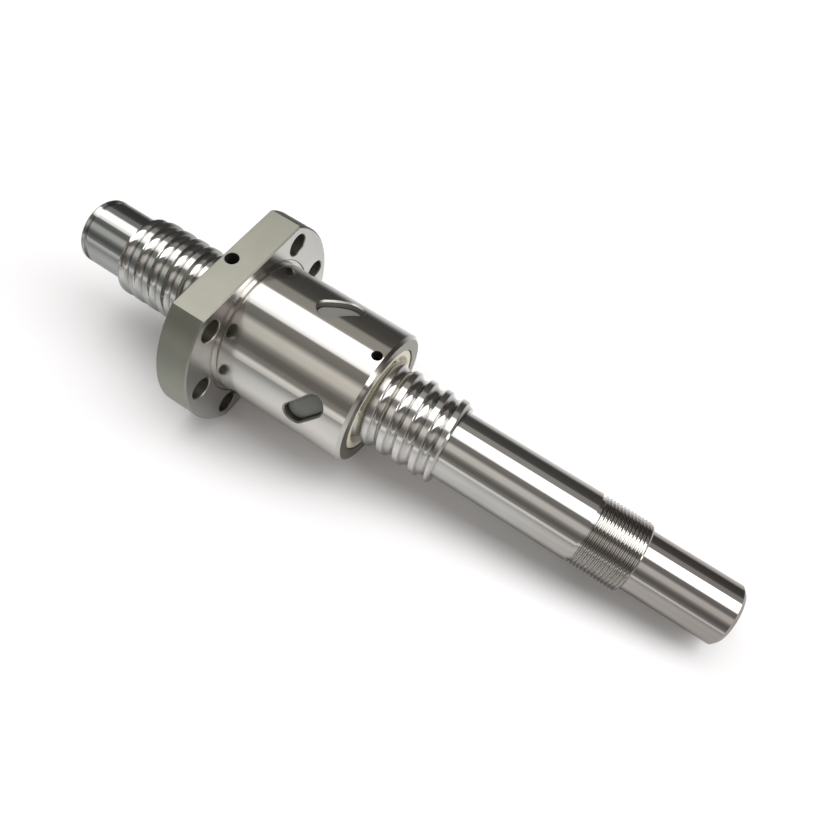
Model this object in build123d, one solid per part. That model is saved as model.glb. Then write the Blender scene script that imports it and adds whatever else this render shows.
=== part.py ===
from build123d import *
import bisect
import math
import os

# Ball screw with a flanged single nut and internal ball returns, right-hand.
# Lengths are millimetres and angles degrees. +X runs along the shaft to the drive end and +Z is up.
# The origin is on the shaft axis, at the flange face that seats on the housing.
# Angles round the shaft count from +Y towards +Z.

# Ball track, shared by the shaft, nut, caps, balls and wipers. It has one start, so its pitch is its lead.
track_pitch = 5.0
ball_diameter = 3.175
ball_circle_diameter = 25.6
ball_clearance = 0.0625
ball_gap = 0.05
shaft_land_drop = 0.5
nut_land_rise = 0.2

# Shaft, from left to right
left_journal_diameter = 20.0
left_journal_length = 16.0
left_end_chamfer = 0.5
ring_groove_diameter = 19.0
ring_groove_width = 1.3
ring_groove_from_end = 1.35
thread_start = -42.0
thread_length = 106.0
thread_end_chamfer = 0.6
bearing_journal_diameter = 20.0
bearing_journal_length = 40.3
locknut_thread_diameter = 19.9
locknut_thread_length = 14.7
locknut_thread_chamfer = 0.7
locknut_relief_diameter = 18.8
locknut_relief_width = 0.9
drive_journal_diameter = 17.0
drive_journal_length = 26.0
drive_end_chamfer = 1.0
centre_hole_diameter = 4.0
centre_hole_depth = 9.0
centre_cone_diameter = 8.5

# Nut
barrel_diameter = 40.0
barrel_end_from_last_cap = 12.7
barrel_end_chamfer = 0.9
barrel_seam_angle = 15.0
flange_diameter = 62.0
flange_thickness = 10.0
flange_across_flats = 48.0
flange_edge_chamfer = 0.4
corner_relief_depth = 0.3
corner_relief_width = 1.2
bolt_edge_distance = 5.5
bolt_hole_diameter = 6.6
bolt_hole_chamfer = 0.25
bolt_hole_angles = (0, 45, 135, 180, 225, 315)

# Return caps, each over a land between two turns of the track
circuits = 4
circuit_turn = 90.0
first_cap_x = 9.55
first_cap_angle = -113.0
cap_reach = 5.76
cap_wall = 1.25
cap_ledge = 0.5
cap_ledge_height = 16.2
cap_recess = 1.9
cap_clearance = 0.1
slot_chamfer = 0.45
return_half_angle = 25.0
return_lift_share = 0.4
return_land_clearance = 0.08
channel_clearance = 0.1125

# Wipers and the screws that hold them
wiper_wall = 3.25
wiper_seat_depth = 5.5
wiper_sink = 0.3
wiper_rim_clearance = 0.2
wiper_land_clearance = 0.25
wiper_groove_clearance = 0.2
wiper_dish_width = 1.35
wiper_dish_depth = 1.6
wiper_screw_diameter = 2.9
wiper_screw_length = 3.2
wiper_screw_inset = 2.7
wiper_screw_angle = 90.0
wiper_screw_clearance = 0.05
wiper_screw_bite = 0.5
wiper_screw_bevel = 0.3
wiper_screw_socket = 1.5
wiper_screw_socket_depth = 1.4
access_hole_diameter = 3.8
access_gap = 0.3

# How far a cutting shape stands out past the surface that it cuts
overcut = 1.0

ball_circle = ball_circle_diameter / 2
ball_radius = ball_diameter / 2
groove_radius = ball_radius + ball_clearance
thread_radius = ball_circle - shaft_land_drop
nut_bore = ball_circle + nut_land_rise
circuit_step = track_pitch * (1 + circuit_turn / 360)
barrel_radius = barrel_diameter / 2
barrel_length = first_cap_x + (circuits - 1) * circuit_step + barrel_end_from_last_cap
thread_end = thread_start + thread_length
wiper_hole = thread_radius + wiper_land_clearance
wiper_radius = wiper_hole + wiper_wall
wiper_seat = wiper_radius + wiper_rim_clearance
wiper_screw_tip = wiper_radius - wiper_screw_bite
front_seat_floor = wiper_seat_depth - flange_thickness
rear_seat_floor = barrel_length - wiper_seat_depth
front_screw_x = wiper_screw_inset - flange_thickness
rear_screw_x = barrel_length - wiper_screw_inset

# Where the groove's centre line crosses angle 0, so that each cap is centred on a land
track_phase = first_cap_x - track_pitch * (0.5 + first_cap_angle / 360)


def turned(outline):
    """Solid of revolution about +Z from (radius, height) points."""
    return revolve(Plane.XZ * make_face(Polyline(*outline, close=True)), Axis.Z)


def rod(radius, start, end):
    """Cylinder about +Z from one height to another."""
    return Pos(0, 0, start) * extrude(Circle(radius), end - start)


def spoke(radius, inner, outer, height, angle):
    """Radial cylinder between two distances from the axis."""
    pin = extrude(Plane.YZ.offset(inner) * Circle(radius), outer - inner)
    return Pos(0, 0, height) * Rot(0, 0, angle) * pin


def on_shaft(shape):
    """Lay a shape that was modelled about +Z along the shaft, with +X of the model turned to +Y."""
    return Plane.YZ * shape


def track(radius, start, end):
    """Tubes along the ball track that cover a stretch of the axis, one for each turn."""
    path = Helix(track_pitch, track_pitch, ball_circle)
    turn = sweep(Plane(path @ 0, z_dir=path % 0) * Circle(radius), path=path, is_frenet=True)
    first = math.floor((start - radius - track_phase) / track_pitch) - 1
    last = math.ceil((end + radius - track_phase) / track_pitch)
    return [Pos(0, 0, track_phase + track_pitch * i) * turn for i in range(first, last + 1)]


def polar(radius, angle, height):
    """Point at an angle round +Z."""
    return (radius * math.cos(math.radians(angle)), radius * math.sin(math.radians(angle)), height)


def ease(t):
    """Step from 0 to 1 with no slope and no curvature at either end."""
    t = min(max(t, 0.0), 1.0)
    return t**3 * (10 - 15 * t + 6 * t * t)


def return_point(t):
    """Ball centre in a return passage, t from 0 to 1, about the cap's centre.

    The ball comes along one turn of the track, rises over the shaft's land, steps back by one lead
    and sinks into the turn before.
    """
    angle = return_half_angle * (2 * t - 1)
    lift = thread_radius + ball_radius + return_land_clearance - ball_circle
    rise = ease(t / return_lift_share) * ease((1 - t) / return_lift_share)
    return polar(ball_circle + lift * rise, angle, track_pitch * (angle / 360 + 0.5 - ease(t)))


def track_point(t):
    """Ball centre in the turn of track that closes a circuit, t from 0 to 1, about the cap's centre."""
    angle = return_half_angle + t * (360 - 2 * return_half_angle)
    return polar(ball_circle, angle, track_pitch * (angle / 360 - 0.5))


def cap_outline(width):
    """Slot shape over a return passage, with its end centres above the groove's two centre lines."""
    angle = math.degrees(math.asin(cap_reach / 2 / ball_circle))
    rise = track_pitch * (0.5 - angle / 360)
    reach = cap_reach / 2
    return SlotCenterToCenter(2 * math.hypot(rise, reach), width, math.degrees(math.atan2(-rise, reach)))


def cap_prism(half_width, inner, outer):
    """Cap-shaped prism that stands out along +X between two distances from the axis."""
    return extrude(Plane.YZ.offset(inner) * cap_outline(2 * half_width), outer - inner)


def at_circuit(shape, i):
    """Move a shape from the cap's own place, at angle 0 and height 0, to circuit i."""
    angle = first_cap_angle + i * circuit_turn
    return Pos(0, 0, first_cap_x + i * circuit_step) * Rot(0, 0, angle) * shape


def screw_shaft():
    left = thread_start - left_journal_length
    left_radius = left_journal_diameter / 2
    groove_start = left + ring_groove_from_end
    groove_floor = ring_groove_diameter / 2
    bearing_radius = bearing_journal_diameter / 2
    bearing_end = thread_end + bearing_journal_length
    relief_radius = locknut_relief_diameter / 2
    locknut_radius = locknut_thread_diameter / 2
    locknut_end = bearing_end + locknut_thread_length
    drive_radius = drive_journal_diameter / 2
    right = locknut_end + drive_journal_length
    shaft = turned([
        (0, left),
        (left_radius - left_end_chamfer, left),
        (left_radius, left + left_end_chamfer),
        (left_radius, groove_start),
        (groove_floor, groove_start),
        (groove_floor, groove_start + ring_groove_width),
        (left_radius, groove_start + ring_groove_width),
        (left_radius, thread_start),
        (thread_radius - thread_end_chamfer, thread_start),
        (thread_radius, thread_start + thread_end_chamfer),
        (thread_radius, thread_end - thread_end_chamfer),
        (thread_radius - thread_end_chamfer, thread_end),
        (bearing_radius, thread_end),
        (bearing_radius, bearing_end),
        (relief_radius, bearing_end),
        (relief_radius, bearing_end + locknut_relief_width),
        (locknut_radius, bearing_end + locknut_relief_width),
        (locknut_radius, locknut_end - locknut_thread_chamfer),
        (locknut_radius - locknut_thread_chamfer, locknut_end),
        (drive_radius, locknut_end),
        (drive_radius, right - drive_end_chamfer),
        (drive_radius - drive_end_chamfer, right),
        (0, right),
    ])
    shaft -= track(groove_radius, thread_start, thread_end)
    pilot = centre_hole_diameter / 2
    mouth = centre_cone_diameter / 2
    cone_depth = (mouth - pilot) / math.tan(math.radians(30))
    for end, inward in ((left, 1), (right, -1)):
        shaft -= turned([
            (0, end),
            (mouth, end),
            (pilot, end + inward * cone_depth),
            (pilot, end + inward * centre_hole_depth),
            (0, end + inward * (centre_hole_depth + pilot)),
        ])
    return shaft


def flange():
    outline = Circle(flange_diameter / 2) & Rectangle(flange_diameter, flange_across_flats)
    plate = Pos(0, 0, -flange_thickness) * extrude(outline, flange_thickness)
    rims = plate.edges().group_by(Axis.Z)
    plate = chamfer(rims[0] + rims[-1], flange_edge_chamfer)
    for angle in bolt_hole_angles:
        x, y, _ = polar(flange_diameter / 2 - bolt_edge_distance, angle, 0)
        hole = bolt_hole_diameter / 2
        plate -= Pos(x, y) * turned([
            (0, -flange_thickness),
            (hole + bolt_hole_chamfer, -flange_thickness),
            (hole, bolt_hole_chamfer - flange_thickness),
            (hole, -bolt_hole_chamfer),
            (hole + bolt_hole_chamfer, 0),
            (0, 0),
        ])
    return plate


def slot_mouths(body):
    """Edges where the cap slots break through the barrel's outside."""
    ring = barrel_radius - slot_chamfer
    return [
        edge
        for edge in body.edges().filter_by(GeomType.LINE, reverse=True)
        if corner_relief_width + slot_chamfer < edge.center().Z < rear_seat_floor
        and math.hypot(edge.center().X, edge.center().Y) > ring
    ]


def nut_body():
    # The seam of the barrel's surface is turned clear of the slots
    body = flange() + Rot(0, 0, barrel_seam_angle) * turned([
        (0, -flange_thickness),
        (wiper_seat, -flange_thickness),
        (barrel_radius, -flange_thickness / 2),
        (barrel_radius, barrel_length - barrel_end_chamfer),
        (barrel_radius - barrel_end_chamfer, barrel_length),
        (0, barrel_length),
    ])
    inner = barrel_radius - corner_relief_depth
    outer = barrel_radius + corner_relief_width
    body -= turned([
        (inner, -corner_relief_depth),
        (outer - corner_relief_depth, -corner_relief_depth),
        (outer, 0),
        (outer, corner_relief_width),
        (barrel_radius, corner_relief_width),
        (inner, corner_relief_width - corner_relief_depth),
    ])
    body -= rod(nut_bore, -flange_thickness, barrel_length)
    body -= rod(wiper_seat, -flange_thickness, front_seat_floor)
    body -= rod(wiper_seat, rear_seat_floor, barrel_length)
    for i in range(circuits):
        body -= at_circuit(cap_prism(groove_radius + cap_wall, cap_ledge_height, barrel_radius + overcut), i)
    body = chamfer(slot_mouths(body), slot_chamfer)
    for i in range(circuits):
        body -= at_circuit(cap_prism(groove_radius + cap_wall - cap_ledge, 0, barrel_radius), i)
    body -= track(groove_radius, front_seat_floor, rear_seat_floor)
    hole = wiper_screw_diameter / 2 + wiper_screw_clearance
    ledge = wiper_screw_tip + wiper_screw_length + access_gap
    body -= spoke(hole, nut_bore, barrel_radius + overcut, rear_screw_x, wiper_screw_angle)
    body -= spoke(hole, nut_bore, barrel_radius + overcut, front_screw_x, wiper_screw_angle)
    body -= spoke(access_hole_diameter / 2, ledge, flange_diameter, front_screw_x, wiper_screw_angle)
    return body


def return_cap():
    crown = barrel_radius - cap_recess
    half_width = groove_radius + cap_wall - cap_clearance
    cap = cap_prism(half_width, cap_ledge_height, barrel_radius)
    cap += cap_prism(half_width - cap_ledge, 0, cap_ledge_height)
    cap &= rod(crown, -barrel_radius, barrel_radius)
    cap -= rod(nut_bore, -barrel_radius, barrel_radius)
    steps = 24
    overrun = 0.15
    path = Spline(*[return_point((1 + 2 * overrun) * k / steps - overrun) for k in range(steps + 1)])
    section = Plane(path @ 0, z_dir=path % 0) * Circle(ball_radius + channel_clearance)
    return cap - sweep(section, path=path, is_frenet=True)


def ball_centres():
    """Ball centres of one circuit, evenly spaced along its closed path."""
    samples = 400
    loop = [return_point(k / samples) for k in range(samples)]
    loop += [track_point(k / samples) for k in range(samples)]
    loop.append(loop[0])
    travelled = [0.0]
    for a, b in zip(loop, loop[1:]):
        travelled.append(travelled[-1] + math.dist(a, b))
    count = math.floor(travelled[-1] / (ball_diameter + ball_gap))
    centres = []
    for k in range(count):
        place = travelled[-1] * k / count
        j = bisect.bisect_right(travelled, place) - 1
        share = (place - travelled[j]) / (travelled[j + 1] - travelled[j])
        centres.append([a + share * (b - a) for a, b in zip(loop[j], loop[j + 1])])
    return centres


def wiper(floor, face):
    """Ring with a rib that runs in the shaft's groove, from its seat's floor to its outer face."""
    low = min(floor, face)
    high = max(floor, face)
    outward = math.copysign(1, face - floor)
    ring = rod(wiper_radius, low, high) - rod(wiper_hole, low, high)
    for turn in track(groove_radius - wiper_groove_clearance, low, high):
        ring += turn & rod(wiper_radius - wiper_screw_bite, low, high)
    ring -= turned([
        (0, face),
        (wiper_hole + wiper_dish_width, face),
        (wiper_hole, face - outward * wiper_dish_depth),
        (0, face - outward * wiper_dish_depth),
    ])
    return ring


def wiper_screw():
    """Set screw that points at the axis along -X, with its tip at the bottom of the wiper's dimple."""
    radius = wiper_screw_diameter / 2
    screw = turned([
        (0, 0),
        (radius - wiper_screw_bevel, 0),
        (radius, wiper_screw_bevel),
        (radius, wiper_screw_length - wiper_screw_bevel),
        (radius - wiper_screw_bevel, wiper_screw_length),
        (0, wiper_screw_length),
    ])
    socket = extrude(RegularPolygon(wiper_screw_socket / 2, 6, major_radius=False), wiper_screw_socket_depth)
    screw -= Pos(0, 0, wiper_screw_length - wiper_screw_socket_depth) * socket
    return Plane.YZ.offset(wiper_screw_tip) * screw


nodes = {"screw_shaft": screw_shaft(), "nut_body": nut_body()}
cap = return_cap()
centres = ball_centres()
for i in range(circuits):
    nodes[f"return_cap_{i + 1}"] = at_circuit(cap, i)
    balls = Compound([Pos(*centre) * Solid.make_sphere(ball_radius) for centre in centres])
    nodes[f"ball_circuit_{i + 1}"] = at_circuit(balls, i)
seats = {
    "front": (front_seat_floor, wiper_sink - flange_thickness, front_screw_x),
    "rear": (rear_seat_floor, barrel_length - wiper_sink, rear_screw_x),
}
dimple_radius = wiper_screw_diameter / 2 + wiper_screw_clearance
for side, (floor, face, screw_x) in seats.items():
    dimple = spoke(dimple_radius, wiper_screw_tip, barrel_radius, screw_x, wiper_screw_angle)
    nodes[f"wiper_{side}"] = wiper(floor, face) - dimple
    nodes[f"wiper_screw_{side}"] = Pos(0, 0, screw_x) * Rot(0, 0, wiper_screw_angle) * wiper_screw()

os.makedirs("parts", exist_ok=True)
for name, shape in nodes.items():
    export_step(on_shaft(shape), f"parts/{name}.step")
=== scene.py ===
# %% [markdown]
# # A ball screw in ground steel
#
# A ball screw turns rotation into travel: balls roll in a helical track between a hardened shaft and a
# nut, and caps in the nut lift them over one land of the thread, back into the turn that they came from.
# Nearly all of it is machined metal, so the picture stands or falls with three things: crisp turned
# shapes, an exact thread, and a studio that draws clean bands of light along the cylinders.
#
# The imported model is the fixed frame. Each piece made here takes the place of a node of that frame.

# %% Load the frame
import bmesh
import bpy
import math
from mathutils import Matrix, Vector


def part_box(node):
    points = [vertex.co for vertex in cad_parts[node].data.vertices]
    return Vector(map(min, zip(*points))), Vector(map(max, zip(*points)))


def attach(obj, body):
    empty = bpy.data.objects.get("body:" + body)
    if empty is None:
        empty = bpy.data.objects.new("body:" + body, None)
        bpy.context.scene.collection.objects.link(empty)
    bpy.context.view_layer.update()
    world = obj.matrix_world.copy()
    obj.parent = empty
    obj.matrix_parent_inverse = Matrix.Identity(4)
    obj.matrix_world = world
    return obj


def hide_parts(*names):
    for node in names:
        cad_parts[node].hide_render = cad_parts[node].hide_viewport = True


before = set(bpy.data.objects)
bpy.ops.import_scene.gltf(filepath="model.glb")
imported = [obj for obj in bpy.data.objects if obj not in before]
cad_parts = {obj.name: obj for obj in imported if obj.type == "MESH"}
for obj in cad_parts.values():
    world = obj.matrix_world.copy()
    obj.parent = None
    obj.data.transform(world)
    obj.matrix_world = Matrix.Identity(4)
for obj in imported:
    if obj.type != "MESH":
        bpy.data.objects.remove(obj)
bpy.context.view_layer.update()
print("nodes in the frame:", ", ".join(sorted(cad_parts)))

# %% [markdown]
# ## Sizes
#
# Shapes are modelled in millimetres, as a machinist would read them off a drawing, and turned to metres at
# the very end. The ends of shaft and nut come from the frame's own boxes. What a box can't tell is written
# once: the ball track here, and the rest beside its shape.

# %% Sizes in millimetres
MM = 0.001


def span(node):
    """Lowest and highest corner of a node of the frame, in millimetres."""
    low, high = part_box(node)
    return Vector(low) / MM, Vector(high) / MM


shaft_low, shaft_high = span("screw_shaft")
nut_low, nut_high = span("nut_body")

lead = 5.0
ball_diameter = 3.175
ball_circle = 25.6 / 2
groove_radius = 1.65
flank_radius = 1.78
flank_shift = 0.12
land_radius = 24.6 / 2
nut_bore = 26.0 / 2
first_cap_x = 9.55
first_cap_angle = -113.0
circuit_turn = 90.0
circuit_step = lead * (1 + circuit_turn / 360)
circuits = 4
track_phase = first_cap_x - lead / 2 - lead * first_cap_angle / 360
print(f"shaft {shaft_high.x - shaft_low.x:.1f} mm long, nut {nut_high.x - nut_low.x:.1f} mm long")

# %% [markdown]
# ## Colours and nodes
#
# Colours are read off a screen as sRGB hex values, but a renderer adds and multiplies light, so it needs
# them linear. One function does that turn, and one more adds a node with its settings and its links, which
# keeps every node tree short to read.

# %% Helpers for colours and nodes


def linear(hex_code):
    """Linear RGBA of an sRGB hex colour."""
    channels = [int(hex_code[i:i + 2], 16) / 255 for i in (1, 3, 5)]
    return [c / 12.92 if c <= 0.04045 else ((c + 0.055) / 1.055) ** 2.4 for c in channels] + [1.0]


def add_node(tree, kind, values=None, links=None, **settings):
    """Add a node; values sets its inputs, links joins them to outputs or to a node's first output."""
    node = tree.nodes.new(kind)
    for name, value in settings.items():
        setattr(node, name, value)
    for socket, value in (values or {}).items():
        node.inputs[socket].default_value = value
    for socket, source in (links or {}).items():
        output = source.outputs[0] if isinstance(source, bpy.types.Node) else source
        tree.links.new(output, node.inputs[socket])
    return node


def new_material(name):
    """Material with an empty node tree, and that tree."""
    material = bpy.data.materials.new(name)
    material.use_nodes = True
    material.node_tree.nodes.clear()
    print("material:", name)
    return material, material.node_tree


# %% [markdown]
# ## Ground steel
#
# The shaft and the nut's barrel are hardened bearing steel, ground between centres. A grinding wheel leaves
# scratches round the part that are far finer than a pixel. They blur a reflection along the shaft and
# leave it sharp round it, which is why the light lies in long clean bands. An anisotropic shader does
# that without drawing a scratch: the tangent runs round the X axis, and the rotation of a quarter turn
# stretches the highlight across the scratches. Faint rings in roughness and height, drawn coarser than
# the real ones so that they show, keep the surface from looking like plastic film. In the ball thread they
# break up round the shaft too, as a grinding wheel's chatter does, and its lands are a little rougher.

# %% Ground steel


def varied_colour(tree, colour, tint, tint_size):
    """Texture coordinates, and a colour that varies between two hex values at a size in millimetres."""
    place = add_node(tree, "ShaderNodeTexCoord")
    cloud = add_node(tree, "ShaderNodeTexNoise", {"Scale": 1 / (tint_size * MM), "Detail": 2.0},
                     {"Vector": place.outputs["Object"]})
    mix = add_node(tree, "ShaderNodeMix", {"A": linear(colour), "B": linear(tint)},
                   {"Factor": cloud.outputs["Fac"]}, data_type="RGBA")
    return place, mix


def shade(tree, base, marks, roughness, spread, height, values, links=None):
    """Shader with a base colour, and with a roughness and a height in millimetres that follow a noise."""
    level = marks.outputs["Fac"]
    rough = add_node(tree, "ShaderNodeMapRange",
                     {"To Min": roughness - spread, "To Max": roughness + spread}, {"Value": level})
    bump = add_node(tree, "ShaderNodeBump", {"Strength": 1.0, "Distance": height * MM}, {"Height": level})
    shader = add_node(tree, "ShaderNodeBsdfPrincipled", values,
                      {"Base Color": base.outputs["Result"], "Roughness": rough, "Normal": bump,
                       **(links or {})})
    add_node(tree, "ShaderNodeOutputMaterial", links={"Surface": shader})


def ring_marks(tree, place, spacing, chatter):
    """Noise as turning and grinding marks: quick along the shaft, slow round it; sizes in millimetres."""
    scale = (1 / (spacing * MM), 1 / (chatter * MM), 1 / (chatter * MM))
    squeeze = add_node(tree, "ShaderNodeMapping", {"Scale": scale}, {"Vector": place.outputs["Object"]})
    return add_node(tree, "ShaderNodeTexNoise", {"Scale": 1.0, "Detail": 3.0, "Roughness": 0.6},
                    {"Vector": squeeze})


def ground_steel(name, colour, tint, roughness, spread, stretch, ring_spacing, ring_height, chatter=80.0):
    """Steel that was turned or ground round the X axis."""
    material, tree = new_material(name)
    place, base = varied_colour(tree, colour, tint, tint_size=9.0)
    rings = ring_marks(tree, place, ring_spacing, chatter)
    round_x = add_node(tree, "ShaderNodeTangent", direction_type="RADIAL", axis="X")
    shade(tree, base, rings, roughness, spread, ring_height,
          {"Metallic": 1.0, "Anisotropic": stretch, "Anisotropic Rotation": 0.25}, {"Tangent": round_x})
    return material


steel_shaft = ground_steel("ground_bearing_steel", "#cac8c5", "#bfbdb9", roughness=0.12, spread=0.03,
                           stretch=0.95, ring_spacing=0.35, ring_height=0.0006)
steel_track = ground_steel("ground_ball_track_steel", "#dcdad8", "#cecbc8", roughness=0.1, spread=0.03,
                           stretch=0.3, ring_spacing=0.6, ring_height=0.03, chatter=1.3)
steel_land = ground_steel("ground_thread_land_steel", "#d6d4d2", "#c8c5c2", roughness=0.17, spread=0.04,
                          stretch=0.7, ring_spacing=0.4, ring_height=0.012, chatter=2.0)
steel_thread = ground_steel("turned_thread_steel", "#c0bdb8", "#b1aea9", roughness=0.26, spread=0.05,
                            stretch=0.3, ring_spacing=0.3, ring_height=0.001)
steel_barrel = ground_steel("ground_nut_steel", "#d0cdc9", "#c6c3be", roughness=0.12, spread=0.03,
                            stretch=0.95, ring_spacing=0.4, ring_height=0.0006)

# %% [markdown]
# The flange is left as it came from the lathe and the mill: a satin surface with a slightly warm, olive
# cast. Its marks go every way at this scale, so it needs no tangent, only a higher roughness and a fine
# grain. Only the face that seats on the housing is ground, which makes it paler and cooler.

# %% Satin and dark finishes


def grained(name, colour, tint, metallic, roughness, spread, grain, height):
    """Surface with a fine even grain: satin metal, or plastic where metallic is 0."""
    material, tree = new_material(name)
    place, base = varied_colour(tree, colour, tint, tint_size=6.0)
    speck = add_node(tree, "ShaderNodeTexNoise", {"Scale": 1 / (grain * MM), "Detail": 3.0},
                     {"Vector": place.outputs["Object"]})
    shade(tree, base, speck, roughness, spread, height, {"Metallic": metallic})
    return material


satin_steel = grained("milled_satin_steel", "#9b9a8f", "#929186", 1.0, roughness=0.4, spread=0.04,
                      grain=0.5, height=0.004)
seat_steel = grained("ground_seat_steel", "#cac9c6", "#c0bfbc", 1.0, roughness=0.24, spread=0.04,
                     grain=0.5, height=0.002)
slot_steel = grained("milled_slot_steel", "#9b9994", "#8c8a85", 1.0, roughness=0.38, spread=0.06,
                     grain=0.4, height=0.004)
# The holes' steel is darker than the flange's: the rougher drilled finish is real, and the darker colour is
# painted shade inside the holes.
hole_steel_with_painted_shade = grained("drilled_steel_with_painted_shade", "#8a8883", "#767470", 1.0, roughness=0.5, spread=0.06,
                     grain=0.4, height=0.004)
black_oxide = grained("black_oxide_steel", "#242322", "#1b1a19", 1.0, roughness=0.38, spread=0.05,
                      grain=0.3, height=0.003)
ball_steel = grained("polished_ball_steel", "#d3d1ce", "#cbc9c5", 1.0, roughness=0.06, spread=0.01,
                     grain=0.5, height=0.0)

# %% [markdown]
# The return caps are injection-moulded in dark glass-filled nylon: matt, with the faint mottle that the
# glass fibres leave. The wipers are cream-white acetal, which has a finer, smoother skin.

# %% Moulded plastics
cap_nylon = grained("moulded_dark_nylon", "#83847f", "#767772", 0.0, roughness=0.42, spread=0.08,
                    grain=0.35, height=0.012)
wiper_acetal = grained("moulded_cream_acetal", "#f0ebd8", "#e8e2cc", 0.0, roughness=0.42, spread=0.05,
                       grain=0.6, height=0.004)

# %% [markdown]
# ## From drawing to solid
#
# Turned parts are revolved from their outline, as on a lathe. The steps round the axis are many, because
# a mirror shows every flat. Holes, slots and grooves are then cut out by solid tools, as on a mill, with
# Blender's manifold boolean. Edges above an angle stay sharp, and the rest is smooth.

# %% Turning and cutting


def placed(name, data):
    """Object in the scene with the given data."""
    thing = bpy.data.objects.new(name, data)
    bpy.context.scene.collection.objects.link(thing)
    return thing


def made_of(material, *shapes):
    """Give shapes their material."""
    for shape in shapes:
        shape.data.materials.append(material)


def piece_from(name, vertices, faces):
    """Mesh object from vertices and faces in millimetres, facing outwards."""
    mesh = bpy.data.meshes.new(name)
    mesh.from_pydata(vertices, [], faces)
    shape = bmesh.new()
    shape.from_mesh(mesh)
    bmesh.ops.remove_doubles(shape, verts=shape.verts, dist=0.00001)
    bmesh.ops.recalc_face_normals(shape, faces=shape.faces)
    shape.to_mesh(mesh)
    shape.free()
    return placed(name, mesh)


def loft(name, rings, joined=False, pointed=False):
    """Skin over rings of equally many points; the ends are capped, or joined to each other.

    With pointed, the last ring has shrunk to a line or a point and needs no cap.
    """
    count = len(rings[0])
    vertices = [point for ring in rings for point in ring]
    pairs = list(zip(range(len(rings)), range(1, len(rings))))
    if joined:
        pairs.append((len(rings) - 1, 0))
    faces = [
        (a * count + j, a * count + (j + 1) % count, b * count + (j + 1) % count, b * count + j)
        for a, b in pairs
        for j in range(count)
    ]
    if not joined:
        faces.append(tuple(range(count)))
    if not joined and not pointed:
        faces.append(tuple(range((len(rings) - 1) * count, len(rings) * count)))
    return piece_from(name, vertices, faces)


def turned(name, outline, steps=512, joined=False):
    """Solid of revolution about X from (x, radius) points; joined makes a ring with a bore."""
    turns = [2 * math.pi * (j + 0.5) / steps for j in range(steps)]
    rings = [[(x, r * math.cos(a), r * math.sin(a)) for a in turns] for x, r in outline]
    return loft(name, rings, joined)


def combine(piece, tool, operation="DIFFERENCE"):
    """Cut a tool out of a piece, or join it on, and throw the tool away."""
    modifier = piece.modifiers.new("cut", "BOOLEAN")
    modifier.operation = operation
    modifier.solver = "MANIFOLD"
    modifier.object = tool
    bake(piece)
    bpy.data.objects.remove(tool)


def bake(piece):
    """Turn a piece's modifiers into plain mesh."""
    evaluated = piece.evaluated_get(bpy.context.evaluated_depsgraph_get())
    mesh = bpy.data.meshes.new_from_object(evaluated)
    piece.modifiers.clear()
    piece.data = mesh


def triangles(piece):
    """Number of triangles in a mesh object."""
    return sum(len(face.vertices) - 2 for face in piece.data.polygons)


# %% [markdown]
# ## A tool that follows a helix
#
# The ball track, the fine lock-nut thread and the rib inside each wiper all follow the same rule: one
# section carried along a helix. That is work for Geometry Nodes. The tree draws a right-hand spiral,
# carries a section along it, lays it along X and turns it to its phase. The section is a small closed
# outline, drawn like the cutter's own profile: x points away from the shaft's axis, y along it.

# %% Helical tool in Geometry Nodes


def new_tree(name, wanted):
    """Geometry Nodes tree with named inputs, a material and one result, and the sockets of its inputs."""
    tree = bpy.data.node_groups.new(name, "GeometryNodeTree")
    for label, kind in {**wanted, "Material": "Material"}.items():
        tree.interface.new_socket(label, in_out="INPUT", socket_type=f"NodeSocket{kind}")
    tree.interface.new_socket("Geometry", in_out="OUTPUT", socket_type="NodeSocketGeometry")
    return tree, add_node(tree, "NodeGroupInput").outputs


def closed_tree(tree, given, geometry):
    """The tree, with a geometry turned to real mesh and painted as its result."""
    real = add_node(tree, "GeometryNodeRealizeInstances", links={"Geometry": geometry})
    painted = add_node(tree, "GeometryNodeSetMaterial",
                       links={"Geometry": real, "Material": given["Material"]})
    add_node(tree, "NodeGroupOutput", links={"Geometry": painted})
    return tree


def helix_tree():
    """Geometry Nodes tree that makes one closed helical bar from its named inputs."""
    tree, given = new_tree("helical_bar", {
        "Pitch": "Float", "Turns": "Float", "Helix radius": "Float", "Section": "Object",
        "Steps per turn": "Int", "Start": "Float", "Phase": "Float",
    })
    height = add_node(tree, "ShaderNodeMath", links={0: given["Pitch"], 1: given["Turns"]},
                      operation="MULTIPLY")
    spiral = add_node(tree, "GeometryNodeCurveSpiral", {"Reverse": True},
                      {"Resolution": given["Steps per turn"], "Rotations": given["Turns"], "Height": height,
                       "Start Radius": given["Helix radius"], "End Radius": given["Helix radius"]})
    upright = add_node(tree, "GeometryNodeSetCurveNormal", links={"Curve": spiral}, mode="Z_UP")
    section = add_node(tree, "GeometryNodeObjectInfo", links={"Object": given["Section"]})
    bar = add_node(tree, "GeometryNodeCurveToMesh", {"Fill Caps": True},
                   {"Curve": upright, "Profile Curve": section.outputs["Geometry"]})
    phase = add_node(tree, "ShaderNodeCombineXYZ", links={"Z": given["Phase"]})
    timed = add_node(tree, "GeometryNodeTransform", links={"Geometry": bar, "Rotation": phase})
    start = add_node(tree, "ShaderNodeCombineXYZ", links={"X": given["Start"]})
    laid = add_node(tree, "GeometryNodeTransform", {"Rotation": (0, math.pi / 2, 0)},
                    {"Geometry": timed, "Translation": start})
    return closed_tree(tree, given, laid)


def grown(name, tree, inputs):
    """Plain mesh object from a Geometry Nodes tree and values for its named inputs."""
    piece = placed(name, bpy.data.meshes.new(name))
    modifier = piece.modifiers.new(name, "NODES")
    modifier.node_group = tree
    sockets = {item.name: item.identifier for item in tree.interface.items_tree if item.in_out == "INPUT"}
    for socket, value in inputs.items():
        modifier[sockets[socket]] = value
    bake(piece)
    return piece


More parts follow.
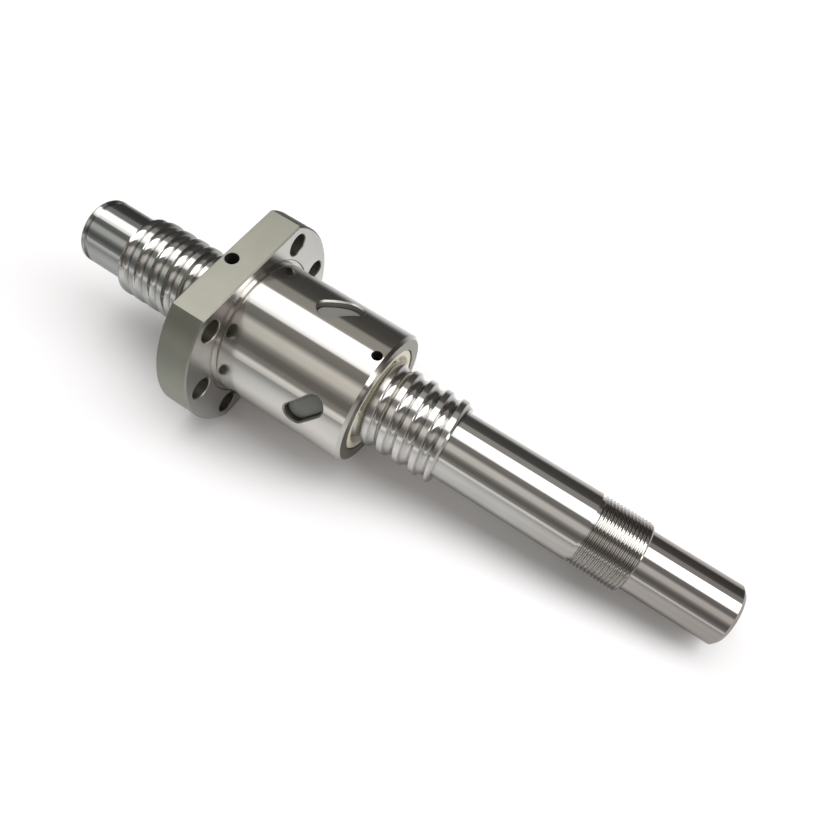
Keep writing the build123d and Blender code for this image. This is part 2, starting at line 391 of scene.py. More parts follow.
def path_object(name, points, closed):
    """Curve object through points, one straight run from each to the next."""
    curve = bpy.data.curves.new(name, "CURVE")
    curve.dimensions = "3D"
    line = curve.splines.new("POLY")
    line.points.add(len(points) - 1)
    for place, point in zip(line.points, points):
        place.co = (*point, 1)
    line.use_cyclic_u = closed
    return placed(name, curve)


helical_bar = helix_tree()


def helical(name, section, inputs):
    """Helical bar with a section given as (x, y) points."""
    outline = path_object(f"{name}_section", [(x, y, 0) for x, y in section], True)
    bar = grown(name, helical_bar, {"Section": outline, **inputs})
    bpy.data.objects.remove(outline)
    return bar


def track_bar(name, section, start, end, material, steps=96):
    """Bar along the ball track over a stretch of the shaft."""
    reach = max(y for _, y in section)
    first = math.floor((start - reach - track_phase) / lead)
    last = math.ceil((end + reach - track_phase) / lead)
    return helical(name, section, {
        "Pitch": lead, "Turns": float(last - first), "Helix radius": ball_circle, "Steps per turn": steps,
        "Start": track_phase + lead * first, "Phase": math.pi / 2, "Material": material,
    })


print("tree inputs:", ", ".join(i.name for i in helical_bar.interface.items_tree if i.in_out == "INPUT"))

# %% [markdown]
# ## Normals that tell the truth
#
# A ground cylinder is a mirror with a grain, so the eye reads every error in its normals as a dent. A cut
# mesh has slivers beside each cut, and their averaged normals wobble. The shapes are known exactly, so
# the normals can be too: on a turned surface the normal keeps its angle to the axis and turns with it, and
# in the ball track it points at the centre of the flank's arc. A zero vector leaves a corner to Blender.

# %% Exact normals


least_agreement = 0.98
most_twist = 0.02


def nearest_on_track(point):
    """Nearest place on the track's centre line, and the directions outwards and across there."""
    turn = math.atan2(point.z, point.y)
    nearest = round((point.x - track_phase) / lead - turn / (2 * math.pi))
    t = turn + 2 * math.pi * nearest
    climb = lead / (2 * math.pi)
    for _ in range(3):
        c, s = math.cos(t), math.sin(t)
        to_line = Vector((track_phase + climb * t - point.x, ball_circle * c - point.y,
                          ball_circle * s - point.z))
        along = Vector((climb, -ball_circle * s, ball_circle * c))
        t -= to_line.dot(along) / along.length_squared
    out = Vector((0, math.cos(t), math.sin(t)))
    return point + to_line, out, along.normalized().cross(out)


def flank_normal(point, side):
    """Direction from a point of the track to the centre of its flank's arc; side is 1 or -1."""
    place, out, across = nearest_on_track(point)
    return (place + flank_shift * (out - side * across) - point).normalized()


def turned_normal(face, point):
    """Normal at a point of a face that belongs to a surface turned about X, or zero if it doesn't."""
    centre = face.center
    out = Vector((0, centre.y, centre.z)).normalized()
    if abs(face.normal.y * out.z - face.normal.z * out.y) > most_twist:
        return Vector()
    here = Vector((0, point.y, point.z)).normalized()
    return Vector((face.normal.x, 0, 0)) + here * (face.normal.y * out.y + face.normal.z * out.z)


def smooth(piece, sharp_angle=28):
    """Smooth a piece and keep its edges above an angle in degrees sharp."""
    piece.data.shade_smooth()
    piece.data.set_sharp_from_angle(angle=math.radians(sharp_angle))


def true_normals(piece, flat_beyond=math.inf):
    """Smooth a piece and give its turned faces and track faces their exact normals.

    Flats that face along Z and lie beyond a height in the nut keep their own normals.
    """
    smooth(piece)
    mesh = piece.data
    normals = [Vector()] * len(mesh.loops)
    for face in mesh.polygons:
        material = mesh.materials[face.material_index]
        in_track = material is not None and material.name == steel_track.name
        is_flat = abs(face.normal.y) < 1e-4 and abs(face.center.z) > flat_beyond
        if in_track:
            place, _, across = nearest_on_track(face.center)
            side = math.copysign(1, (face.center - place).dot(across))
        for corner in face.loop_indices:
            point = mesh.vertices[mesh.loops[corner].vertex_index].co
            if in_track:
                normal = flank_normal(point, side)
                agreement = normal.dot(face.normal)
                if abs(agreement) > least_agreement:
                    normals[corner] = normal if agreement > 0 else -normal
            elif not is_flat:
                normals[corner] = turned_normal(face, point)
    mesh.normals_split_custom_set([tuple(n) for n in normals])


def finish_piece(piece, body, material_slot, *nodes):
    """Drop a finished piece's empty material slots, turn it to metres and let it stand for its nodes."""
    mesh = piece.data
    kept = [material for material in mesh.materials if material]
    slots = [kept.index(mesh.materials[face.material_index]) for face in mesh.polygons]
    mesh.materials.clear()
    for material in kept:
        mesh.materials.append(material)
    mesh.polygons.foreach_set("material_index", slots)
    mesh.transform(Matrix.Scale(MM, 4))
    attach(piece, body)
    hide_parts(*nodes)
    print(f"{piece.name}: {triangles(piece)} triangles")


def paint(piece, materials, choose):
    """Give each face of a piece the material that a rule picks from its centre's x and radius."""
    for material in materials:
        piece.data.materials.append(material)
    for face in piece.data.polygons:
        face.material_index = choose(face.center.x, math.hypot(face.center.y, face.center.z))


# %% [markdown]
# ## The shaft
#
# One bar of bearing steel: a plain journal with a groove for a retaining ring on the left, the ball
# thread, a long bearing journal, a fine thread for the lock nut, and a smaller drive journal. It was
# turned between centres, so both ends have a centre hole. The blank is revolved, and then the track and
# the thread are cut with the helical tool, each in one go. The wheel that grinds the track is a gothic
# arch: two arcs, each centred a little past the middle, that meet in a faint ridge, so that a ball touches
# both flanks. Its sides also break the track's edges. Ridge and edges give every turn its thin lines of
# light. The thread's cutter is the 60 degree profile of a metric thread with its flat root.

# %% Shaft
left_end = shaft_low.x
right_end = shaft_high.x
thread_start, thread_end = -42.0, 64.0
relief_start, locknut_start, locknut_end = 104.3, 105.2, 119.0
relief_radius = 9.4
journal = 10.0
locknut_radius = 9.95
drive = 8.5
ring_start, ring_end, ring_radius = left_end + 1.35, left_end + 2.65, 9.5
thread_bevel, locknut_bevel, drive_bevel = 0.6, 0.7, 1.0


def centre_hole(end, inward):
    """Outline of a lathe's centre hole from its mouth in, almost to the axis; inward is 1 or -1."""
    return [(end + inward * depth, r) for depth, r in ((0.0, 4.25), (3.9, 2.0), (9.0, 2.0), (11.0, 0.03))]


blank = turned("ball_screw_shaft", [
    *reversed(centre_hole(left_end, 1)),
    (left_end, journal - 0.5), (left_end + 0.15, journal - 0.18), (left_end + 0.5, journal),
    (ring_start, journal), (ring_start, ring_radius), (ring_end, ring_radius), (ring_end, journal),
    (thread_start, journal), (thread_start, land_radius - thread_bevel),
    (thread_start + thread_bevel, land_radius), (thread_end - thread_bevel, land_radius),
    (thread_end, land_radius - thread_bevel), (thread_end, journal),
    (relief_start, journal), (relief_start, relief_radius), (locknut_start, relief_radius),
    (locknut_start, locknut_radius), (locknut_end - locknut_bevel, locknut_radius),
    (locknut_end, locknut_radius - locknut_bevel), (locknut_end, drive),
    (right_end - drive_bevel, drive), (right_end, drive - drive_bevel),
    *centre_hole(right_end, -1),
], steps=384)
paint(blank, [steel_shaft, steel_land], lambda x, r: 1 if r > (journal + land_radius) / 2 else 0)


def round_section(radius, sides=40):
    """Outline of a round bar."""
    turns = [2 * math.pi * k / sides for k in range(sides)]
    return [(radius * math.cos(a), radius * math.sin(a)) for a in turns]


def wheel_section(land, edge_break, sides=11):
    """Outline of the track's grinding wheel, for a land at a height from the ball circle."""
    half = math.sqrt(flank_radius ** 2 - (land - flank_shift) ** 2) - flank_shift + edge_break
    rise = half - land + 2 * flank_shift
    meeting = (math.sqrt(2 * flank_radius ** 2 - rise ** 2) - rise) / 2
    ridge, widest = math.asin(flank_shift / flank_radius), math.acos(-meeting / flank_radius)
    turns = [widest + (ridge - widest) * k / sides for k in range(sides + 1)]
    clear, top = half + edge_break, land + 1.7
    side = [(top, clear), (land + edge_break, clear)]
    side += [
        (flank_shift - flank_radius * math.cos(a), flank_radius * math.sin(a) - flank_shift) for a in turns
    ]
    return side + [(x, -y) for x, y in reversed(side[:-1])]


combine(blank, track_bar("track_tool", wheel_section(land_radius - ball_circle, edge_break=0.14),
                         thread_start, thread_end, steel_track))

pitch = 1.0
thread_turns = 15.0
run_in = 0.35
depth = 0.613
root = 0.08
clear = 0.1
flank = root + (depth + clear) * math.tan(math.radians(30))
combine(blank, helical("thread_tool", [(-depth, root), (-depth, -root), (clear, -flank), (clear, flank)], {
    "Pitch": pitch, "Turns": thread_turns, "Helix radius": locknut_radius, "Steps per turn": 96,
    "Start": locknut_start - run_in, "Phase": 0.0, "Material": steel_thread,
}))
true_normals(blank)
finish_piece(blank, "screw", "shaft_steel", "screw_shaft")

# %% [markdown]
# ## The nut
#
# Barrel and flange are one forging. Seen along the axis, the flange is a disc with two flats, so its ring
# of points runs along arcs and flats in turn, and every ring of the lathe outline uses the same angles.
# The outline runs round the section once: up the flange's front, over its rim, down to the relief groove,
# along the barrel, into the wiper seat, back through the bore and out through the other seat.

# %% Nut blank
flange_radius = nut_high.y
flat_height = 24.0
flange_face = nut_low.x
nut_end = nut_high.x
barrel = 20.0
flange_bevel, barrel_bevel = 0.4, 0.9
relief_low, relief_high, relief_width, relief_bevel = 19.7, 20.9, 0.9, 0.3
wiper_seat = 16.0
seat_depth = 5.5


def flange_ring(x, inset=0.0, arc_steps=203, flat_steps=157):
    """Outline of the flange, counter-clockwise from the right-hand corner."""
    radius, height = flange_radius - inset, flat_height - inset
    corner = math.asin(height / radius)
    ring = []
    for side in (0, math.pi):
        for k in range(arc_steps):
            a = side - corner + 2 * corner * k / arc_steps
            ring.append((x, radius * math.cos(a), radius * math.sin(a)))
        half = radius * math.cos(corner)
        up = 1 if side == 0 else -1
        for k in range(flat_steps):
            ring.append((x, up * half * (1 - 2 * k / flat_steps), up * height))
    return ring


def round_ring(x, radius):
    """Circle with its points at the angles of the flange's ring."""
    return [(x, radius * y / math.hypot(y, z), radius * z / math.hypot(y, z)) for _, y, z in flange_ring(x)]


nut = loft("ball_nut", [
    flange_ring(flange_face, flange_bevel), flange_ring(flange_face + flange_bevel),
    flange_ring(-flange_bevel), flange_ring(0, flange_bevel),
    round_ring(0, relief_high + relief_bevel), round_ring(-relief_bevel, relief_high),
    round_ring(-relief_bevel, relief_low), round_ring(relief_width, relief_low),
    round_ring(relief_width + relief_bevel, barrel),
    round_ring(nut_end - barrel_bevel, barrel), round_ring(nut_end, barrel - barrel_bevel),
    round_ring(nut_end, wiper_seat), round_ring(nut_end - seat_depth, wiper_seat),
    round_ring(nut_end - seat_depth, nut_bore), round_ring(flange_face + seat_depth, nut_bore),
    round_ring(flange_face + seat_depth, wiper_seat), round_ring(flange_face, wiper_seat),
], joined=True)


def nut_finish(x, r):
    """Finish of a face of the nut blank, as its place in the list of materials."""
    near = 0.01
    if x < flange_face + near or x > nut_end - near:
        return 1
    if r > barrel + 0.5:
        return 3 if x > -near else 1
    return 2 if r < wiper_seat + 0.1 else 0


paint(nut, [steel_barrel, satin_steel, slot_steel, seat_steel], nut_finish)
print("nut blank:", triangles(nut), "triangles")

# %% [markdown]
# ## Slots for the return caps
#
# Each cap sits in a slot that was milled straight in towards the axis. It leans, because it joins two
# turns of the track. The cutter is a stack of slot-shaped rings: straight sides, then a 45 degree flare
# that follows the barrel's curve, which leaves the bright chamfer seen round each slot. A narrower slot
# goes on to the bore, and the step between the two is the ledge that the cap rests on.

# %% Slots
cap_reach = 5.76 / 2
cap_rise = lead * (0.5 - math.asin(cap_reach / ball_circle) / (2 * math.pi))
slot_half = 2.9
ledge = 0.5
ledge_height = 16.2
throat_low, throat_high = 10.0, 17.0
slot_chamfer = 0.45
overcut = 2.0
track_margin = 1.8


def slot_ring(half_width, height, steps=32, side_steps=24):
    """Ring of a slot over a cap's place, at radial height(u), where u runs along the tangent."""
    lean = math.atan2(-cap_rise, cap_reach)
    plan = []
    for end, middle in ((lean, 1), (lean + math.pi, -1)):
        for k in range(steps + 1):
            a = end - math.pi / 2 + math.pi * k / steps
            plan.append((middle * cap_reach + half_width * math.cos(a),
                         -middle * cap_rise + half_width * math.sin(a)))
        u, v = plan[-1]
        for k in range(1, side_steps):
            back = 2 * middle * k / side_steps
            plan.append((u - back * cap_reach, v + back * cap_rise))
    return [(v, height(u), u) for u, v in plan]


def on_barrel(radius, drop=0.0):
    """Height of a cylinder's surface over the axis, less a drop, as a function of u."""
    return lambda u: math.sqrt(radius * radius - u * u) - drop


def circuit_place(i):
    """Matrix that moves a shape from angle 0 and x = 0 to circuit i."""
    angle = math.radians(first_cap_angle + i * circuit_turn)
    return Matrix.Translation((first_cap_x + i * circuit_step, 0, 0)) @ Matrix.Rotation(angle, 4, "X")


for i in range(circuits):
    mouth = loft(f"slot_tool_{i}", [
        slot_ring(slot_half, lambda u: ledge_height), slot_ring(slot_half, on_barrel(barrel, slot_chamfer)),
        slot_ring(slot_half + slot_chamfer, on_barrel(barrel)),
        slot_ring(slot_half + slot_chamfer + overcut, lambda u: barrel + overcut),
    ])
    throat = loft(f"throat_tool_{i}", [
        slot_ring(slot_half - ledge, lambda u: throat_low),
        slot_ring(slot_half - ledge, lambda u: throat_high),
    ])
    for tool in (mouth, throat):
        made_of(slot_steel, tool)
        tool.data.transform(circuit_place(i))
        combine(nut, tool)
combine(nut, track_bar("nut_track_tool", round_section(groove_radius),
                       flange_face + seat_depth + track_margin, nut_end - seat_depth - track_margin,
                       steel_barrel))
print("nut with slots and track:", triangles(nut), "triangles")

# %% [markdown]
# ## Bolt holes
#
# Six equal holes on one circle are a pattern, so a tree places them: a ring of eight points, less the two
# on the flats, each with a copy of one drill. The drill is a turned bar that flares where it meets either
# face, which leaves the small chamfer on each hole's rim.

# %% Bolt holes in Geometry Nodes


def bolt_tree():
    """Geometry Nodes tree that puts a tool on a circle about X and leaves out the places near y = 0."""
    tree, given = new_tree("bolt_pattern", {
        "Tool": "Object", "Circle radius": "Float", "Places": "Int", "Empty half-width": "Float",
    })
    circle = add_node(tree, "GeometryNodeCurvePrimitiveCircle",
                      links={"Resolution": given["Places"], "Radius": given["Circle radius"]})
    facing = add_node(tree, "GeometryNodeTransform", {"Rotation": (0, math.pi / 2, 0)}, {"Geometry": circle})
    spots = add_node(tree, "GeometryNodeCurveToPoints", links={"Curve": facing}, mode="EVALUATED")
    where = add_node(tree, "GeometryNodeInputPosition")
    parts = add_node(tree, "ShaderNodeSeparateXYZ", links={"Vector": where})
    size = add_node(tree, "ShaderNodeMath", links={0: parts.outputs["Y"]}, operation="ABSOLUTE")
    wide = add_node(tree, "ShaderNodeMath", links={0: size, 1: given["Empty half-width"]},
                    operation="GREATER_THAN")
    tool = add_node(tree, "GeometryNodeObjectInfo", links={"Object": given["Tool"]})
    copies = add_node(tree, "GeometryNodeInstanceOnPoints",
                      links={"Points": spots, "Selection": wide, "Instance": tool.outputs["Geometry"]})
    return closed_tree(tree, given, copies)


hole = 3.3
rim = 0.25
bolt_circle = 51.0 / 2
drill = turned("bolt_drill", [
    (flange_face - 1, hole + rim + 1), (flange_face + rim, hole), (-rim, hole), (1, hole + rim + 1),
], steps=64)
pattern = grown("bolt_tools", bolt_tree(), {
    "Tool": drill, "Circle radius": bolt_circle, "Places": 8, "Empty half-width": 1.0, "Material": hole_steel_with_painted_shade,
})
bpy.data.objects.remove(drill)
combine(nut, pattern)
print("nut with bolt holes:", triangles(nut), "triangles")

# %% [markdown]
# Each wiper is held by a small set screw in a radial hole: one near the barrel's end, and one reached
# through a long hole from the flange's top flat.

# %% Screw holes
screw_inset = 2.7
screw_radius = 1.45
screw_hole = 1.5
access_hole = 1.9
access_floor = 18.7
screw_tip = 15.3
screw_length = 3.2
rear_screw_x = nut_end - screw_inset
front_screw_x = flange_face + screw_inset


def upright(tool, x):
    """Stand a tool that was turned along X up along +Z, at a place along the shaft."""
    tool.data.transform(Matrix.Translation((x, 0, 0)) @ Matrix.Rotation(-math.pi / 2, 4, "Y"))
    return tool


for name, x, outline in (
    ("rear_screw_drill", rear_screw_x,
     [(nut_bore, screw_hole), (barrel - 0.05, screw_hole), (barrel + 1, screw_hole + 1.05)]),
    ("front_screw_drill", front_screw_x, [(nut_bore, screw_hole), (access_floor + 0.1, screw_hole)]),
    ("access_drill", front_screw_x,
     [(access_floor, access_hole), (flat_height - 0.08, access_hole), (flat_height + 1, access_hole + 1.08)]),
):
    tool = upright(turned(name, outline, steps=48), x)
    made_of(hole_steel_with_painted_shade, tool)
    combine(nut, tool)
true_normals(nut, flat_beyond=flat_height - flange_bevel - 0.01)
finish_piece(nut, "nut", "nut_steel", "nut_body")

# %% [markdown]
# ## Return caps
#
# Each cap is moulded in one shot: a slot-shaped block with a shoulder, a crown that follows the nut's
# round, and an S-shaped channel underneath that lifts the balls over the land. The block is a stack of
# rings again, whose last ones shrink to a line over the crown, so the crown is smooth and its edge is
# rounded as a mould leaves it. The channel is a tube along the balls' path.

# %% Path of the balls
return_half_angle = 25.0
lift_share = 0.4
land_gap = 0.08


def ease(t):
    """Step from 0 to 1 with no slope and no curvature at either end."""
    t = min(max(t, 0.0), 1.0)
    return t ** 3 * (10 - 15 * t + 6 * t * t)


def return_point(t):
    """Ball centre in a return, t from 0 to 1: up over the land, back by one lead and down again."""
    a = math.radians(return_half_angle * (2 * t - 1))
    lift = land_radius + ball_diameter / 2 + land_gap - ball_circle
    r = ball_circle + lift * ease(t / lift_share) * ease((1 - t) / lift_share)
    return Vector((lead * (a / (2 * math.pi) + 0.5 - ease(t)), r * math.cos(a), r * math.sin(a)))


def track_point(t):
    """Ball centre in the turn of track that closes a circuit, t from 0 to 1."""
    a = math.radians(return_half_angle + t * (360 - 2 * return_half_angle))
    return Vector((lead * (a / (2 * math.pi) - 0.5), ball_circle * math.cos(a), ball_circle * math.sin(a)))


# %% Channel and balls in Geometry Nodes


def path_tree(name, sizes, build):
    """Geometry Nodes tree that builds something along a path object from named sizes."""
    tree, given = new_tree(name, {"Path": "Object", **sizes})
    path = add_node(tree, "GeometryNodeObjectInfo", links={"Object": given["Path"]})
    return closed_tree(tree, given, build(tree, given, path.outputs["Geometry"]))


def tube(tree, given, path):
    """Round bar along a path."""
    section = add_node(tree, "GeometryNodeCurvePrimitiveCircle",
                       links={"Resolution": given["Sides"], "Radius": given["Radius"]})
    return add_node(tree, "GeometryNodeCurveToMesh", {"Fill Caps": True},
                    {"Curve": path, "Profile Curve": section})


def beads(tree, given, path):
    """Balls at even spacing along a path."""
    spaced = add_node(tree, "GeometryNodeResampleCurve", links={"Curve": path, "Count": given["Count"]})
    bead = add_node(tree, "GeometryNodeMeshIcoSphere", {"Subdivisions": 3}, {"Radius": given["Radius"]})
    round_bead = add_node(tree, "GeometryNodeSetShadeSmooth", links={"Geometry": bead})
    return add_node(tree, "GeometryNodeInstanceOnPoints", links={"Points": spaced, "Instance": round_bead})


channel_tree = path_tree("channel_bar", {"Radius": "Float", "Sides": "Int"}, tube)
balls_tree = path_tree("ball_loop", {"Radius": "Float", "Count": "Int"}, beads)
print("trees:", channel_tree.name, balls_tree.name)

# %% Return caps
cap_half = slot_half - 0.1
cap_bottom = 10.5
crown = barrel - 1.9
rounding = 0.3
channel_radius = ball_diameter / 2 + 0.1125
overrun = 0.15

body = loft("return_cap", [
    slot_ring(cap_half - ledge, lambda u: cap_bottom),
    slot_ring(cap_half - ledge, lambda u: ledge_height),
    slot_ring(cap_half, lambda u: ledge_height),
    slot_ring(cap_half, on_barrel(crown, rounding)),
] + [
    slot_ring(cap_half - rounding * (1 - math.cos(a)), on_barrel(crown, rounding * (1 - math.sin(a))))
    for a in (math.radians(angle) for angle in (22.5, 45, 67.5, 90))
] + [
    slot_ring(half, on_barrel(crown)) for half in (2.0, 1.3, 0.6, 0.0)
], pointed=True)
bore = turned("bore_tool", [(-20, nut_bore), (20, nut_bore)])
made_of(cap_nylon, body, bore)
combine(body, bore)
bottom_path = path_object("return_path", [
    return_point((1 + 2 * overrun) * k / 48 - overrun) for k in range(49)
], False)
combine(body, grown("channel_tool", channel_tree, {
    "Path": bottom_path, "Radius": channel_radius, "Sides": 48, "Material": cap_nylon,
}))
smooth(body, 35)
for i in range(circuits):
    cap = placed(f"return_cap_dark_{i + 1}", body.data.copy())
    cap.data.transform(circuit_place(i))
    finish_piece(cap, "nut", "cap_plastic", f"return_cap_{i + 1}")
bpy.data.objects.remove(body)

# %% [markdown]
# The balls fill each circuit end to end: round one turn of the track and back through the cap. A tree
# spaces them along that closed path.

# %% Balls
loop_points = [return_point(k / 60) for k in range(60)] + [track_point(k / 300) for k in range(300)]
loop_path = path_object("ball_path", loop_points, True)
loop_length = sum((b - a).length for a, b in zip(loop_points, loop_points[1:] + loop_points[:1]))
least_gap = 0.05
ball_count = math.floor(loop_length / (ball_diameter + least_gap))
for i in range(circuits):
    balls = grown(f"bearing_balls_{i + 1}", balls_tree, {
        "Path": loop_path, "Radius": ball_diameter / 2, "Count": ball_count, "Material": ball_steel,
    })
    balls.data.transform(circuit_place(i))
    finish_piece(balls, "ball_train", "ball_steel", f"ball_circuit_{i + 1}")
for path in (bottom_path, loop_path):
    bpy.data.objects.remove(path)
print(ball_count, "balls in each circuit")

# %% [markdown]
# ## Wipers
#
# A wiper is a turned plastic ring with a rib inside that runs in the track and keeps dirt out. Its bore
# is dished towards the open end. The rib is the track's own helical bar, a little slimmer, trimmed to the
# ring's length and joined on.

# %% Wipers
rim_radius = 15.8
rim_bevel = 0.25
ring_bore = land_radius + 0.25
rib_inside = 10.5
sink = 0.3
dish_width, dish_depth = 1.35, 1.6
rib_section = round_section(groove_radius - 0.2)

for side, floor_x, outward in (("rear", nut_end - seat_depth, 1), ("front", flange_face + seat_depth, -1)):
    face_x = floor_x + outward * (seat_depth - sink)
    dish_x = face_x - outward * dish_depth
    ring = turned(f"wiper_ring_{side}", [
        (floor_x, ring_bore), (floor_x, rim_radius), (face_x - outward * rim_bevel, rim_radius),
        (face_x, rim_radius - rim_bevel), (face_x, ring_bore + dish_width), (dish_x, ring_bore),
    ], steps=360, joined=True)
    trim = turned("rib_trim", [
        (floor_x, rib_inside), (floor_x, screw_tip), (face_x, screw_tip), (face_x, ring_bore + dish_width),
        (dish_x, ring_bore), (dish_x, rib_inside),
    ], steps=360, joined=True)
    rib = track_bar("rib", rib_section, min(floor_x, face_x), max(floor_x, face_x), wiper_acetal)
    made_of(wiper_acetal, ring, trim)
    combine(rib, trim, "INTERSECT")
    combine(ring, rib, "UNION")
    screw_x = rear_screw_x if outward == 1 else front_screw_x
    dimple_outline = [(screw_tip, screw_hole), (rim_radius + 1.2, screw_hole)]
    dimple = upright(turned("dimple_tool", dimple_outline, steps=48), screw_x)
    made_of(wiper_acetal, dimple)
    combine(ring, dimple)
    true_normals(ring)
    finish_piece(ring, "nut", "wiper_plastic", f"wiper_{side}")

# %% Wiper screws
bevel = 0.3
screw_top = screw_tip + screw_length
socket_depth = 1.4
socket_corner = 0.75 / math.cos(math.pi / 6)

screw = turned("set_screw", [
    (screw_tip, screw_radius - bevel), (screw_tip + bevel, screw_radius),
    (screw_top - bevel, screw_radius), (screw_top, screw_radius - bevel),
], steps=48)
socket = turned("socket_tool", [
    (screw_top - socket_depth, socket_corner), (screw_tip + 5, socket_corner),
], steps=6)
made_of(black_oxide, screw, socket)
combine(screw, socket)
smooth(screw)
for side, x in (("rear", rear_screw_x), ("front", front_screw_x)):
    copy = placed(f"set_screw_{side}", screw.data.copy())
    finish_piece(upright(copy, x), "nut", "black_steel", f"wiper_screw_{side}")
bpy.data.objects.remove(screw)

# %% [markdown]
# ## Floor
#
# Nothing holds the screw up but its own nut, so it lies on the flange's edge and the end of the barrel, a
# little tilted. The frame keeps the shaft level, and the floor is tilted instead.
#
# The picture's ground is burnt out to plain white, yet the steel mirrors a table that fades away from the
# lamp and ends in the dark. So the floor is white paper to the camera's own rays, and to every other ray
# it is a table whose colour carries painted shade and light: darker in a band along the shaft where its
# shadow lies, brightest just behind it and under the nut, and fading towards the ends and into the dark
# far behind. The shadow cast by the lights falls on both alike. A faint glow painted for the camera's
# rays lifts the paper to plain white, and it gives way where the screw stands close over it, which paints
# the shadow there darker.

# %% Floor
flange_edge = Vector((-flange_bevel, 0, -flat_height))
barrel_edge = Vector((nut_end - barrel_bevel, 0, -barrel))
slope = (barrel_edge.z - flange_edge.z) / (barrel_edge.x - flange_edge.x)


def floor_height(x):
    """Height of the tilted floor, a hair below the screw's lowest edges."""
    return flange_edge.z + slope * (x - flange_edge.x) - 0.02


far = 3000
corners = [(-far, -far), (far, -far), (far, far), (-far, far)]
floor = piece_from("studio_floor", [(x, y, floor_height(x)) for x, y in corners], [(0, 1, 2, 3)])
floor.data.transform(Matrix.Scale(MM, 4))
paper, tree = new_material("white_sweep_with_painted_table_shade")
place, white = varied_colour(tree, "#f4f3f4", "#f1f0f1", tint_size=120.0)
axes = add_node(tree, "ShaderNodeSeparateXYZ", links={"Vector": place.outputs["Object"]})


def tinted_ramp(tree, value, low, high, stops):
    """Colour ramp over a value, from (value, level) or (value, level, tint) stops; the first is at low."""
    share = add_node(tree, "ShaderNodeMapRange", {"From Min": low, "From Max": high}, {"Value": value})
    ramp = add_node(tree, "ShaderNodeValToRGB", links={"Fac": share})
    elements = ramp.color_ramp.elements
    elements.remove(elements[-1])
    for k, (at, level, *tint) in enumerate(stops):
        element = elements.new((at - low) / (high - low)) if k else elements[0]
        element.color = [level * t for t in (tint[0] if tint else (1, 1, 1))] + [1.0]
    return ramp


def product(tree, a, b):
    """Two colours multiplied."""
    mix = add_node(tree, "ShaderNodeMix", {"Factor": 1.0}, {"A": a, "B": b}, data_type="RGBA",
                   blend_type="MULTIPLY")
    return mix.outputs["Result"]


# Painted shade across the shaft: the table is darker in the band where the shaft's shadow lies, brightest
# just behind it, and fades into the dark far behind.
across = tinted_ramp(tree, axes.outputs["Y"], -0.2, 0.2, [
    (-0.2, 0.6), (-0.06, 0.77), (-0.047, 0.79), (-0.035, 0.72), (-0.025, 0.72), (0.015, 0.76), (0.025, 0.9),
    (0.04, 0.82), (0.06, 0.65), (0.085, 0.52), (0.12, 0.28), (0.168, 0.16), (0.2, 0.1),
])
# Painted light along the shaft: the table is brightest under the nut and fades towards the ends, a little
# cool at the left end and warm at the right.
along = tinted_ramp(tree, axes.outputs["X"], -0.2, 0.2, [
    (-0.2, 0.6), (-0.12, 0.69), (-0.07, 0.76, (0.95, 1.01, 1.03)), (-0.02, 0.98, (0.98, 1, 1)),
    (0.005, 1.14), (0.042, 1.14), (0.07, 0.99), (0.085, 0.97), (0.11, 0.84, (1.02, 0.99, 0.98)),
    (0.139, 0.7, (1.04, 0.985, 0.96)), (0.2, 0.62, (1.04, 0.985, 0.96)),
])
ray = add_node(tree, "ShaderNodeLightPath")
seen = add_node(tree, "ShaderNodeMix", links={"Factor": ray.outputs["Is Camera Ray"],
                "A": product(tree, across, along), "B": white.outputs["Result"]}, data_type="RGBA")
matt = add_node(tree, "ShaderNodeBsdfDiffuse", links={"Color": seen.outputs["Result"]})
# The camera's glow is painted light that whitens the paper; it dims where the screw stands close over the
# floor, which paints the shadow there darker.
openness = add_node(tree, "ShaderNodeAmbientOcclusion", {"Distance": 0.06}, samples=16)
faint = add_node(tree, "ShaderNodeMapRange",
                 {"From Min": 0.55, "From Max": 0.8, "To Min": 0.02, "To Max": 0.13},
                 {"Value": openness.outputs["AO"]})
lift = add_node(tree, "ShaderNodeMath", links={0: ray.outputs["Is Camera Ray"], 1: faint},
                operation="MULTIPLY")
glow = add_node(tree, "ShaderNodeEmission", links={"Strength": lift})
both = add_node(tree, "ShaderNodeAddShader", links={0: matt, 1: glow})
add_node(tree, "ShaderNodeOutputMaterial", links={"Surface": both})
made_of(paper, floor)

# %% [markdown]
# ## Studio light
#
# On polished cylinders the light is what they mirror. Long strip lights lie parallel to the shaft, one
# broad and white overhead, with dark gaps beside them that draw the deep bands on the steel. The world
# draws that room from the direction alone: the angle about the shaft picks the strip, and how far the
# direction leans along the shaft dims the weaker strips, so that the ends don't shine like the middle. The
# broad strip grows brighter towards the drive end, and so the flange throws its shadow the other way.

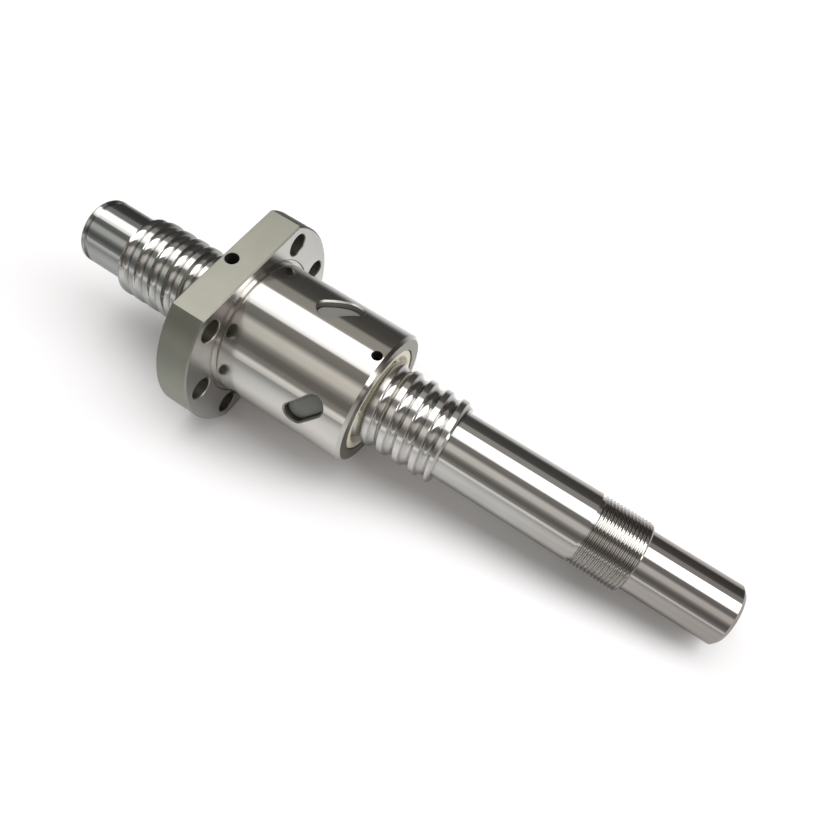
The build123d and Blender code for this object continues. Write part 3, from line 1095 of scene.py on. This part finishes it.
# %% World
world = bpy.data.worlds.new("strip_light_studio")
bpy.context.scene.world = world
world.use_nodes = True
tree = world.node_tree
tree.nodes.clear()
look = add_node(tree, "ShaderNodeTexCoord")
axes = add_node(tree, "ShaderNodeSeparateXYZ", links={"Vector": look.outputs["Generated"]})
angle = add_node(tree, "ShaderNodeMath", links={0: axes.outputs["Z"], 1: axes.outputs["Y"]},
                 operation="ARCTAN2")
warm = (1.02, 0.99, 0.95)
half_turn = 180
degrees = add_node(tree, "ShaderNodeMath", {1: half_turn / math.pi}, {0: angle}, operation="MULTIPLY")
weak_strips = tinted_ramp(tree, degrees, -half_turn, half_turn, [
    (-180, 0.8), (-150, 0.45), (-60, 0.3), (-10, 0.1, warm), (0, 0.08, warm), (17, 0.09, warm),
    (33, 0.12, warm), (37, 0.42, warm), (56, 0.42, warm), (58, 0.0), (94, 0.0), (96, 0.3, warm),
    (110, 0.25, warm), (114, 0.48, warm), (120, 0.9, warm), (133, 0.8, warm), (140, 0.4, warm),
    (148, 0.2, warm), (158, 0.19, warm), (164, 0.33, warm), (168, 0.3, warm), (173, 1.1), (180, 0.9),
])
lean = tinted_ramp(tree, axes.outputs["X"], -1, 1, [
    (-1, 0.5, (0.94, 1.02, 1.04)), (-0.6, 0.66, (0.93, 1.03, 1.05)), (-0.3, 0.98, (1.02, 1, 0.95)), (0, 0.95),
    (0.25, 0.75, (1.03, 0.98, 0.98)), (1, 0.6, (1.03, 0.98, 0.98)),
])
key_strip = tinted_ramp(tree, degrees, -half_turn, half_turn, [
    (-180, 0.0), (56, 0.0), (57.5, 0.75), (68, 1.0), (78, 0.88), (86, 0.62), (93, 0.45), (95, 0.0),
])
key_lean = tinted_ramp(tree, axes.outputs["X"], -1, 1, [(-1, 0.28), (1, 1.0)])
weak_light = add_node(tree, "ShaderNodeBackground", links={"Color": product(tree, weak_strips, lean)})
key_light = add_node(tree, "ShaderNodeBackground", {"Strength": 5.6},
                     {"Color": product(tree, key_strip, key_lean)})
light = add_node(tree, "ShaderNodeAddShader", links={0: weak_light, 1: key_light})
white = add_node(tree, "ShaderNodeBackground", {"Color": (1, 1, 1, 1)})
ray = add_node(tree, "ShaderNodeLightPath")
choice = add_node(tree, "ShaderNodeMixShader", links={0: ray.outputs["Is Camera Ray"], 1: light, 2: white})
add_node(tree, "ShaderNodeOutputWorld", links={"Surface": choice})
print("world:", world.name)

# %% [markdown]
# ## Camera
#
# A moderately wide lens, close above and in front of the nut. The shaft runs down the frame from the
# upper left.

# %% Camera
camera_data = bpy.data.cameras.new("camera")
camera_data.sensor_width = 36.0
camera_data.lens = 31.913
camera_data.clip_start = 0.01
camera = placed("camera", camera_data)
camera.location = Vector((84.936, -87.992, 172.228)) * MM
camera.rotation_euler = [math.radians(a) for a in (29.0262, -6.019, 32.8176)]
bpy.context.scene.camera = camera
bpy.context.scene.view_settings.view_transform = "Standard"
print("camera:", camera.location)
